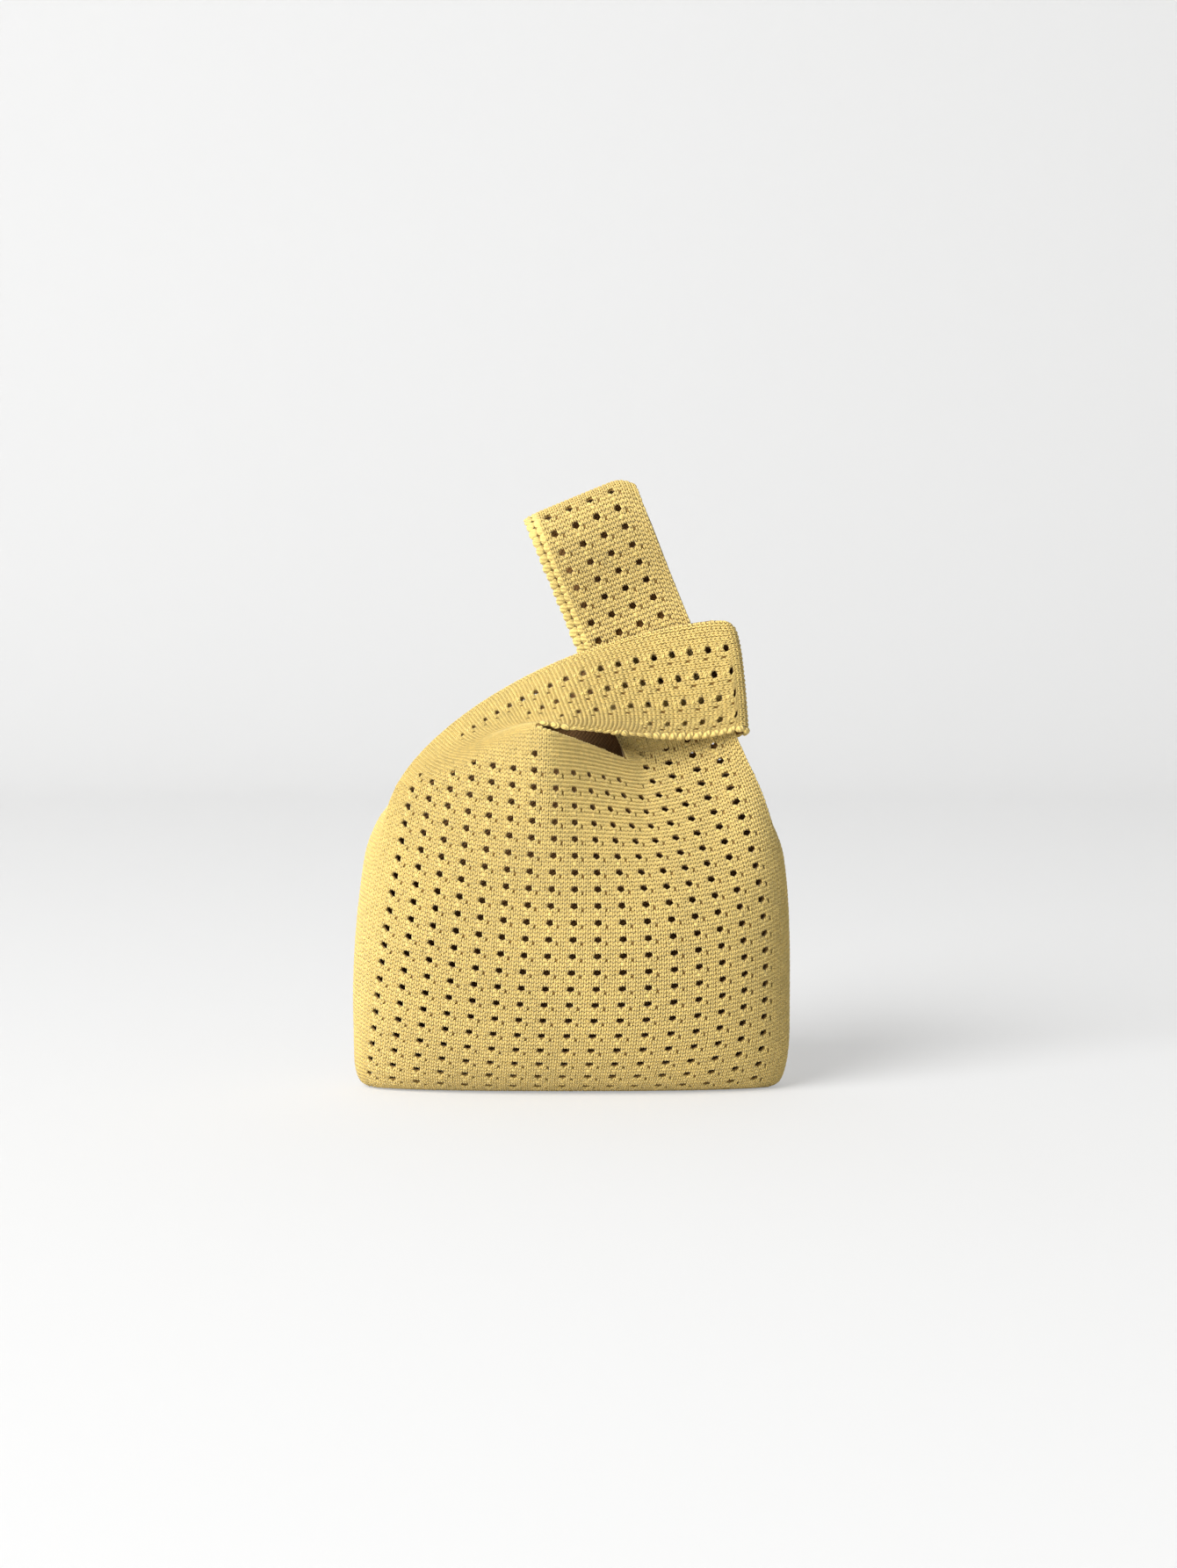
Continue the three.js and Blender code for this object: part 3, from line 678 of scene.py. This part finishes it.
# bumps of a set size along a side edge
def edgeBumps(name, fabric, edge, low, high, material, form, row):
    c = np.arange(low(fabric["wales"]).min(), high(fabric["wales"]).max(), edgeStep)
    w = fabric[edge](c)
    kept = (c > low(w) + form["skip"]) & (c <= high(w))
    w, c = w[kept], c[kept]
    inward = 1 if edge == "left" else -1
    line, inner, outer = (wrap(fabric, np.stack(np.broadcast_arrays(w + a, c, h), -1)) / toMetres
                          for a, h in ((0, 0), (inward, 0), (0, 1)))
    run = np.concatenate([[0], np.cumsum(np.linalg.norm(np.diff(line, axis=0), axis=1))])
    count = max(1, int(run[-1] / form["pitch"]))
    at = (np.arange(count) + 0.5) * run[-1] / count
    pick = lambda values: np.stack([np.interp(at, run, v) for v in values.T], -1)[:, None]
    along, across, out = (unit(pick(v)) for v in (np.gradient(line, axis=0), inner - line, outer - line))
    mesh = copied(name, bumpMesh, (count, 1))
    local = vertexPlaces(mesh).reshape(count, -1, 3) - np.arange(count)[:, None, None] * (1, 0, 0)
    # each bump has its own cell of the bake
    cells = (local[..., 0] * bakeHalf + 0.5 + np.arange(count)[:, None]) / count
    addUv(mesh, "OFBake", np.stack([cells, local[..., 1] * 0.5 + 0.5], -1).reshape(-1, 2))
    setTone(mesh, rng.random(count), local.shape[1])
    x, y, z = (local[..., i, None] * (1 + rng.normal(0, uneven["bump"], (count, 1, 1))) for i in range(3))
    placed = (pick(line) + across * (row + x * form["across"])
              + along * (y * form["along"] + x * form["slant"]) + out * (z * form["high"] + form["lift"]))
    setPlaces(mesh, placed.reshape(-1, 3) * toMetres)
    return newPiece(name, mesh, material)


def joined(name, parts):
    with bpy.context.temp_override(active_object=parts[0], selected_editable_objects=parts, object=parts[0]):
        bpy.ops.object.join()
    parts[0].name = name
    return parts[0]


# stitches, knots and nubs at the eyelets, half stitches at the pinholes, and edges, in one piece
def stitches(name, fabric, low, high, material, edges):
    first, last = math.floor(low(fabric["wales"]).min()), math.ceil(high(fabric["wales"]).max())
    trims = [edges[edge]["trim"] if edge in edges else 0 for edge in ("left", "right")]
    aside, above = pinhole

    def inside(w, c):
        within = (w > fabric["left"](c) + trims[0]) & (w < fabric["right"](c) - trims[1])
        return (c > low(w)) & (c <= high(w)) & within

    def atEyelet(w, c):
        column, row, real = nearestEyelet(fabric, w, c)
        return real & (np.abs(w - column) < sameStitch) & (np.abs(c - row) < sameStitch)

    # a stitch is missing at each eyelet, and half a one at the pinhole beside it
    def plain(w, c):
        return inside(w, c) & ~(atEyelet(w, c) | atEyelet(w - aside, c - above))

    def knotted(w, c):
        return nearestEyelet(fabric, w, c)[2] & inside(w, c)

    def halved(w, c):
        return nearestEyelet(fabric, w - aside, c - above)[2] & inside(w, c)

    wales, courses = np.arange(fabric["count"]) + 0.5, np.arange(first, last) + 0.5
    parts = [field(name, fabric, stitchMesh, wales, courses, plain, material)]
    columns = fabric["columns"]
    if len(columns):
        step = eyeletForm["rowStep"]
        start = fabric["firstRow"] + step * math.ceil((first - fabric["firstRow"]) / step)
        rows = np.arange(start, last, step)
        for shape in (knotMesh, nubMesh):
            parts.append(field(name + "_knots", fabric, shape, columns, rows, knotted, material))
        beside, over = columns + aside, rows + above
        parts.append(field(name + "_halves", fabric, halfMesh, beside, over, halved, material))
    if "rim" in edges:
        parts.append(rimRow(name + "_rim", fabric, fabric["count"], high, material))
    for edge in ("left", "right"):
        if edge in edges:
            for row in edges[edge]["rows"]:
                parts.append(edgeBumps(f"{name}_{edge}", fabric, edge, low, high, material, edges[edge], row))
    return joined(name, parts)


# fabrics of the whole bag
hemCourses = 7
justInside = 0.01  # wales, so that the mouth's own ends belong to the straps


# the back is knitted from right to left, so that its outside is its right side too
def turned(face, values):
    return values if face == front else values[::-1]


# the back's eyelet rows are shifted, so that few eyelets fall in line with the front's
def rowOf(face):
    return faceKnit["firstRow"] + faceKnit[face]["rowShift"]


def eyeletColumns(count):
    return np.arange(eyeletForm["firstColumn"], count - 1, eyeletForm["columnStep"])


# those of the long strap are counted from its right edge in the front view
def longColumns(face):
    return strap - eyeletColumns(strap) if face == front else eyeletColumns(strap)


def bodyLines(face):
    k = faceKnit
    w = halfWales(k[face]["wales"])
    lines = wall(face, w, np.linspace(0, 1, samples["face"]))
    across = w / k[face]["wales"] * 2 - 1
    side = np.where(across < 0, k["leftCourse"], k["course"])
    course = k["centreCourse"] + (side - k["centreCourse"]) * across ** 2
    return lines, laidOff(lines, course * k[face]["longer"])


def bodyFabrics(face):
    k = faceKnit[face]
    wales, foot = k["wales"], faceKnit["foot"]
    lines, courses = (turned(face, v) for v in bodyLines(face))
    neckEnds = (foot, wales - strap) if face == front else (strap, wales - foot)
    neck = lambda w: (w > neckEnds[0] + justInside) & (w < neckEnds[1] - justInside)
    plainTop = lambda w: np.where(
        neck(w), np.interp(w, neckEnds, k["plainNeck"]), np.interp(w, *k["plainFoot"]))
    columns = eyeletColumns(wales)
    eyelet = k.get("eyelet")
    panel = fabricOf(lines, courses, columns, rowOf(face), faceKnit["plainBase"], plainTop, eyelet=eyelet)
    panel["hemLine"] = lambda w: panel["high"](w) - np.where(neck(w), hemCourses, 0)
    # the hem goes on with the panel's knit
    inNeck = slice(2 * neckEnds[0], 2 * neckEnds[1] + 1)
    hemColumns = columns[neck(columns)] - neckEnds[0]
    hemTop = lambda w: plainTop(w + neckEnds[0])
    hem = fabricOf(lines[inNeck], courses[inNeck], hemColumns, rowOf(face), -math.inf, hemTop, eyelet=eyelet)
    hem["hemLine"] = lambda w: hem["high"](w) - hemCourses
    return panel, hem


# courses that run on from the body, draw together on the inside of the bend and lie even in the loop
def armCourses(lines, foot):
    f = shortStrap
    armEnd = slice(samples["arm"] - 1, samples["arm"])
    run = laidOff(lines, 1)
    even = f["courses"] + (run - run[:, -1:]) / f["course"]
    end = run[:, armEnd]
    gap = even[:, armEnd] - foot
    t = np.clip(run / end, 0, 1)
    first, last = end / gap / faceKnit["leftCourse"], end / gap / f["course"]
    eased = (t ** 3 - 2 * t ** 2 + t) * first + (3 * t ** 2 - 2 * t ** 3) + (t ** 3 - t ** 2) * last
    return np.where(run < end, foot + gap * eased, even)


def shortFabric(face):
    s = shortStrap
    lines, width = shortStrapLines(face)
    count = faceKnit["foot"]
    foot = bodyLines(face)[1][:2 * count + 1, -1:]
    courses = armCourses(lines, foot)
    edge = [np.interp(wide, np.arange(2 * count + 1) / 2, column) for wide, column in zip(width, courses.T)]
    lines, courses = turned(face, lines), turned(face, courses)
    columns = eyeletColumns(count)
    columns = columns if face == front else count - columns
    plainFoot = lambda w: np.interp(w if face == front else count - w, *s["plainFoot"])
    eyelet = s["eyelet"][face]
    fabric = fabricOf(lines, courses, columns, rowOf(face), plainFoot, s["plainEnd"], eyelet=eyelet)
    fabric["split"] = lambda w: np.interp(w, fabric["wales"], courses[:, samples["arm"] - 1])
    if face == front:
        fabric["right"] = lambda c: np.interp(c, edge, width)
    else:
        fabric["left"] = lambda c: count - np.interp(c, edge, width)
    return fabric


def legFabric(face):
    lines = legLines(face)
    foot = bodyLines(face)[1][-2 * strap - 1:, -1:]
    courses = foot + laidOff(lines, faceKnit["course"] * faceKnit[face]["longer"])
    lines, courses = turned(face, lines), turned(face, courses)
    plain, eyelet = longStrap["plainLeg"], faceKnit[face].get("legEyelet")
    return fabricOf(lines, courses, longColumns(face), rowOf(face), *plain, eyelet=eyelet)


def handleFabric(face):
    s = longStrap
    lines = turned(face, handleLines(face))
    courses = laidOff(lines, s["course"], True)
    fabric = fabricOf(lines, courses, longColumns(face), s["firstRow"][face], *s["plainHandle"])
    stem = np.linspace(0, s["tip"], samples["stem"])
    gripAt = np.interp(s["tip"] - s["gripBelow"], stem, courses[0, :samples["stem"]])
    fabric["split"] = lambda w: gripAt + 0 * w
    return fabric


def gussetFabric(side, count):
    lines = gussetLines(side, count)
    return fabricOf(lines, laidOff(lines, faceKnit["course"]))


def baseFabric():
    lines = baseLines()
    middle = halfDepth(floorOffset)
    return fabricOf(lines, (middle - lines[..., 1]) / baseForm["course"], smooth=0)


# materials
# the ground's colour is the yarn's own, darkened by painted shade of the depth between the stitches
yarnColours = {
    # inside: the yarn, darker still by painted shade of the bag's inside, on every inner face
    "stitch": (228, 200, 118), "ground": (152, 120, 60), "inside": (132, 94, 42), "seam": (222, 194, 110),
}
yarnSurface = {"Roughness": 0.88, "Specular IOR Level": 0.2, "Sheen Weight": 0.2, "Sheen Roughness": 0.6}
yarnForm = {
    "patches": 24, "patchTone": (0.86, 1.06), "fibres": 900, "fibreTone": 0.3, "stitchTone": 0.14,
    "darker": 0.18, "fibreHeight": 0.4, "bump": 0.6, "bumpHeight": 0.0004, "plySlant": 0.7, "plyTurns": 8,
}


# from a screen colour to the shader's
def linear(colour):
    return [((v / 255 + 0.055) / 1.055) ** 2.4 for v in colour] + [1]


def setInputs(tree, node, inputs):
    for name, value in inputs.items():
        if isinstance(value, bpy.types.NodeSocket):
            tree.links.new(value, node.inputs[name])
        else:
            node.inputs[name].default_value = value
    return node


def addNode(tree, kind, settings=None, **inputs):
    node = tree.nodes.new("ShaderNode" + kind)
    for name, value in (settings or {}).items():
        setattr(node, name, value)
    return setInputs(tree, node, inputs)


def mathNode(tree, operation, *values):
    node = addNode(tree, "Math", {"operation": operation})
    return setInputs(tree, node, dict(enumerate(values))).outputs["Value"]


def rangeNode(tree, value, low, high):
    node = addNode(tree, "MapRange", Value=value)
    return setInputs(tree, node, {"To Min": low, "To Max": high})


# colour that wanders a little over the bag and along the fibres, and a fine fibre height
def yarnLook():
    f = yarnForm
    group = bpy.data.node_groups.new("yarnLook", "ShaderNodeTree")
    for name, way, kind in (("Colour", "INPUT", "Color"), ("Tone", "INPUT", "Float"),
                            ("Colour", "OUTPUT", "Color"), ("Height", "OUTPUT", "Float")):
        group.interface.new_socket(name, in_out=way, socket_type="NodeSocket" + kind)
    given = group.nodes.new("NodeGroupInput")
    place = addNode(group, "TexCoord").outputs["Object"]
    patches = addNode(group, "TexNoise", Vector=place, Scale=f["patches"], Detail=2).outputs["Fac"]
    fibres = addNode(group, "TexNoise", Vector=place, Scale=f["fibres"], Detail=3).outputs["Fac"]
    patched = rangeNode(group, patches, *f["patchTone"]).outputs["Result"]
    fibred = mathNode(group, "MULTIPLY_ADD", fibres, f["fibreTone"], patched)
    toned = mathNode(group, "MULTIPLY_ADD", given.outputs["Tone"], f["stitchTone"], fibred)
    value = mathNode(group, "SUBTRACT", toned, f["darker"])
    colour = addNode(group, "HueSaturation", Color=given.outputs["Colour"], Value=value)
    result = {"Colour": colour.outputs["Color"], "Height": fibres}
    setInputs(group, group.nodes.new("NodeGroupOutput"), result)
    return group


yarnGroup = yarnLook()


def yarnMaterial(name, colour, pattern):
    f = yarnForm
    material = bpy.data.materials.new(name)
    material.use_nodes = True
    tree = material.node_tree
    look = addNode(tree, "Group", {"node_tree": yarnGroup}, Colour=linear(colour))
    height = mathNode(tree, "MULTIPLY_ADD", look.outputs["Height"], f["fibreHeight"], pattern(tree, look))
    bump = addNode(tree, "Bump", Strength=f["bump"], Distance=f["bumpHeight"], Height=height)
    made = {"Base Color": look.outputs["Colour"], "Normal": bump.outputs["Normal"]}
    setInputs(tree, tree.nodes["Principled BSDF"], {**yarnSurface, **made})
    return material


def uvAxes(tree, name):
    uv = addNode(tree, "UVMap", {"uv_map": name})
    axes = addNode(tree, "SeparateXYZ", Vector=uv.outputs["UV"])
    return axes.outputs["X"], axes.outputs["Y"]


# two plies twisted along each grain of yarn
def plies(tree, look):
    tone = addNode(tree, "Attribute", {"attribute_name": "tone"})
    setInputs(tree, look, {"Tone": tone.outputs["Fac"]})
    x, y = uvAxes(tree, "yarn")
    slanted = mathNode(tree, "MULTIPLY_ADD", x, yarnForm["plySlant"], y)
    return mathNode(tree, "SINE", mathNode(tree, "MULTIPLY", slanted, yarnForm["plyTurns"]))


# the purl side of the ground
def purls(tree, look):
    setInputs(tree, look, {"Tone": 0.5})
    turns = [mathNode(tree, "MULTIPLY", axis, 2 * math.pi) for axis in uvAxes(tree, "knitGrid")]
    return mathNode(tree, "MULTIPLY", *(mathNode(tree, "SINE", turn) for turn in turns))


stitchYarn = yarnMaterial("stitchYarn", yarnColours["stitch"], plies)
# the ground's material: the yarn, darkened by painted shade of the depth between the stitches
groundPaintedShade = yarnMaterial("groundPaintedShade", yarnColours["ground"], purls)
# the inside's material: the yarn, darkened by painted shade of the bag's inside
insidePaintedShade = yarnMaterial("insidePaintedShade", yarnColours["inside"], purls)
seamYarn = yarnMaterial("seamYarn", yarnColours["seam"], plies)
print("materials made")


def metres(x, y, z):
    return Vector((x, y, z)) * toMetres


def along(d):
    return metres(*leaning(0, 0, d))


# the two bodies that a piece joins, and the places between which it bends
bends = {
    "arm": ("bag", "loop", metres(-14.4, 0, 171), metres(1.9, 0, 183.2)),
    "leg": ("bag", "loop", metres(55, 0, 168), metres(55, 0, 177.6)),
    "grip": ("handle", "grip", along(60), along(75)),
}
panelSplit = 48  # course at which a panel's stitches are split into two pieces


# flat size of a piece: its mean wale and course, times how many it has
def flatSize(piece, wide, courses):
    area = sum(f.area for f in piece.data.polygons) / 2
    longest = max(courses)
    share = sum(courses) / (wide * longest)
    side = math.sqrt(area / share / (wide * longest))
    return wide * side, longest * side, area


# one knitted piece: its ground, its stitches and the body or bend they follow
def knit(node, fabric, low, high, follows, edges=None, splitAt=None):
    base = ground(node + "_ground", fabric, low, high, (groundPaintedShade, insidePaintedShade))
    levels = [low, lambda w: splitAt + 0 * w, high] if splitAt else [low, high]
    over = [stitches(f"{node}_stitches_{i}", fabric, a, b, stitchYarn, edges or {})
            for i, (a, b) in enumerate(zip(levels, levels[1:]))]
    for piece in [base] + over:
        if follows in bends:
            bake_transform(piece)
        else:
            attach(piece, follows)
    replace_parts(base, node)
    wide = fabric["count"]
    flat = flatSize(base, wide, [high(w) - low(w) for w in np.arange(wide) + 0.5])
    print(node, "ground", len(base.data.polygons), "stitches", sum(len(p.data.polygons) for p in over))


rim = {"rim": True}
for face, word in ((front, "front"), (back, "back")):
    loopEdge, gripEdge = turned(face, ("right", "left"))
    panel, hem = bodyFabrics(face)
    knit(word + "_panel", panel, panel["low"], panel["hemLine"], "bag",
         splitAt=panelSplit)
    knit(word + "_mouth_hem", hem, hem["hemLine"], hem["high"], "bag", rim)
    short = shortFabric(face)
    knit(f"short_strap_{word}_arm", short, short["low"], short["split"], "arm",
         {loopEdge: armRope})
    knit(f"loop_{word}_layer", short, short["split"], short["high"], "loop",
         {loopEdge: ropeForm})
    leg = legFabric(face)
    knit(f"long_strap_{word}_leg", leg, leg["low"], leg["high"], "leg")
    handle = handleFabric(face)
    knit(f"handle_{word}_stem", handle, handle["low"], handle["split"], "handle",
         {gripEdge: stemGarter})
    knit(f"grip_{word}_layer", handle, handle["split"], handle["high"], "grip",
         {gripEdge: garterForm})
    if face == front:
        for node, fabric, body in (("loop_end_seam", short, "loop"), ("grip_top_seam", handle, "grip")):
            seam = rimRow(node, fabric, strap, fabric["high"], seamYarn)
            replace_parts(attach(seam, body), node)
for word, form in gussetForm.items():
    gusset = gussetFabric(*form)
    knit(word + "_gusset", gusset, gusset["low"], gusset["high"], "bag", rim)
bottom = baseFabric()
knit("base_strip", bottom, bottom["low"], bottom["high"], "bag")

# stage, light and camera: the target and distance are in millimetres, the paper and the lamp in metres
stageForm = {
    "target": (8.8, 0, 156), "distance": 1350, "elevation": 4, "lens": 60.6, "sensor": 36,
    "near": 3.0, "far": 2.0, "bend": 0.8, "turns": 24, "wall": 4.0, "half": 5.0,
}
# the paper as a light, and where it is seen: a glow there thins the shadow
paperForm = {"Base Color": (0.77, 0.42), "Emission Strength": (0, 0.41)}
paperSurface = {"Emission Color": (1, 1, 0.99, 1), "Roughness": 0.95, "Specular IOR Level": 0}
skyForm = {"left": 0.5, "right": 0.14}
keyForm = {"place": (-2.6, -2.85, 2.5), "size": 3.2, "power": 325}


# paper sweep: a floor that bends up into a wall
def paperSweep():
    f = stageForm
    bm = bmesh.new()
    edge = [bm.verts.new((-f["half"], -f["near"], 0)), bm.verts.new((f["half"], -f["near"], 0))]
    line = [bm.edges.new(edge)]
    moves = [(f["near"] + f["far"], 0)]
    turns = np.linspace(0, np.pi / 2, f["turns"] + 1)
    moves += list(zip(f["bend"] * np.diff(np.sin(turns)), f["bend"] * -np.diff(np.cos(turns))))
    moves.append((0, f["wall"]))
    for y, z in moves:
        made = bmesh.ops.extrude_edge_only(bm, edges=line)["geom"]
        line = [e for e in made if isinstance(e, bmesh.types.BMEdge)]
        bmesh.ops.translate(bm, vec=(0, y, z), verts=[v for v in made if isinstance(v, bmesh.types.BMVert)])
    return meshOf("sweep", bm)


# 1 where the camera sees it, also through glass or in a gloss
def seenBy(tree):
    path = addNode(tree, "LightPath")
    seen = path.outputs["Is Camera Ray"]
    for name in ("Is Glossy Ray", "Is Transmission Ray"):
        seen = mathNode(tree, "MAXIMUM", seen, path.outputs[name])
    return seen


def paperMaterial():
    material = bpy.data.materials.new("paper")
    material.use_nodes = True
    tree = material.node_tree
    seen = seenBy(tree)
    levels = {name: rangeNode(tree, seen, *ends).outputs["Result"] for name, ends in paperForm.items()}
    setInputs(tree, tree.nodes["Principled BSDF"], {**paperSurface, **levels})
    return material


# white where it is seen; as a light it is soft, and dimmer from the right
def studioSky():
    world = bpy.data.worlds.new("studio")
    world.use_nodes = True
    tree = world.node_tree
    way = addNode(tree, "SeparateXYZ", Vector=addNode(tree, "TexCoord").outputs["Generated"])
    soft = rangeNode(tree, way.outputs["X"], skyForm["left"], skyForm["right"])
    setInputs(tree, soft, {"From Min": -1})
    level = rangeNode(tree, seenBy(tree), soft.outputs["Result"], 1)
    sky = {"Color": (1, 1, 1, 1), "Strength": level.outputs["Result"]}
    setInputs(tree, tree.nodes["Background"], sky)
    return world


# puts a lamp or camera on the stage, aimed at the bag
def aimed(name, data, place):
    tool = bpy.data.objects.new(name, data)
    tool.location = place
    aim = metres(*stageForm["target"]) - tool.location
    tool.rotation_euler = aim.to_track_quat("-Z", "Y").to_euler()
    scene.collection.objects.link(tool)
    return tool


newPiece("floor", paperSweep(), paperMaterial())
scene.world = studioSky()

key = bpy.data.lights.new("key", "AREA")
key.shape = "DISK"
key.size = keyForm["size"]
key.energy = keyForm["power"]
aimed("key", key, keyForm["place"])

camera = bpy.data.cameras.new("camera")
camera.lens = stageForm["lens"]
camera.sensor_width = stageForm["sensor"]
tilt = math.radians(stageForm["elevation"])
standOff = Vector((0, -math.cos(tilt), math.sin(tilt))) * stageForm["distance"] * toMetres
scene.camera = aimed("camera", camera, metres(*stageForm["target"]) + standOff)
scene.view_settings.view_transform = "Standard"
print("stage, light and camera set")
